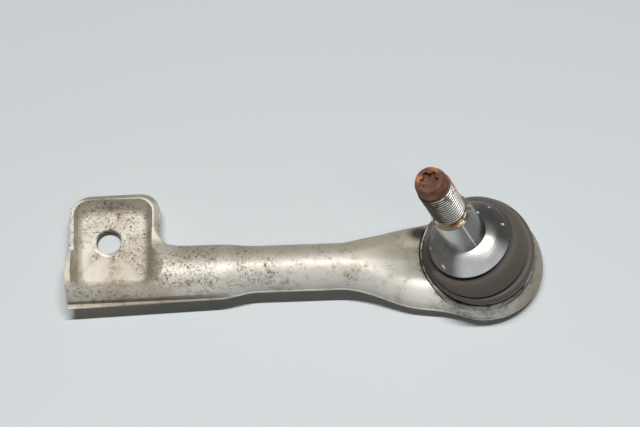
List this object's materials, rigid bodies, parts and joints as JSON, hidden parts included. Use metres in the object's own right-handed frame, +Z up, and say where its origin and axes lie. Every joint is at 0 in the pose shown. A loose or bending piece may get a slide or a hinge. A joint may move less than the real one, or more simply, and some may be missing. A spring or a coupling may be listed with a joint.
{
  "type": "tie rod with ball joint",
  "caption": "Pressed steel link rod with a bolt lug at one end and a threaded ball stud under a rubber boot at the other.",
  "frame": {"origin": "centre of the bolt hole, on the underside of the lug", "axes": "+X along the rod to the socket, +Z up out of the lug, the stud leans over +Z"},
  "size_m": [0.1986, 0.0619, 0.0806],
  "materials": {
    "arm_steel": "satin pressed sheet with fine dirt",
    "housing_steel": "turned, greasy",
    "seat_plastic": "smooth moulded",
    "cap_steel": "pressed",
    "stud_steel": "turned and ground, rust on thread and tip",
    "collar_steel": "dark polished",
    "boot_rubber": "matte moulded",
    "wire_steel": "dark wire",
    "spring_steel": "dark spring steel"
  },
  "bodies": {
    "link": {"link_arm": "arm_steel", "socket_housing": "housing_steel", "ball_seat": "seat_plastic", "closing_cap": "cap_steel", "boot_base_ring": "wire_steel"},
    "boot": {"boot": "boot_rubber"},
    "boot_lip": {"upper_spring_ring": "spring_steel"},
    "stud": {"ball_stud": "stud_steel", "stud_collar": "collar_steel"}
  },
  "joints": [
    {"name": "swing_direction", "type": "hinge", "parent": "link", "child": "boot", "pos_m": [0.1545, -0.0165, 0.0165], "axis": [0, 0, 1], "continuous": true},
    {"name": "swing_angle", "type": "hinge", "parent": "boot", "child": "boot_lip", "pos_m": [0.1545, -0.0165, 0.0165], "axis": [-0.1115, -0.9938, 0], "range_deg": [-43.3, 0.7], "deforming": ["boot"]},
    {"name": "stud_turn", "type": "hinge", "parent": "boot_lip", "child": "stud", "pos_m": [0.1545, -0.0165, 0.0165], "axis": [-0.361, 0.0405, 0.9317], "continuous": true}
  ]
}
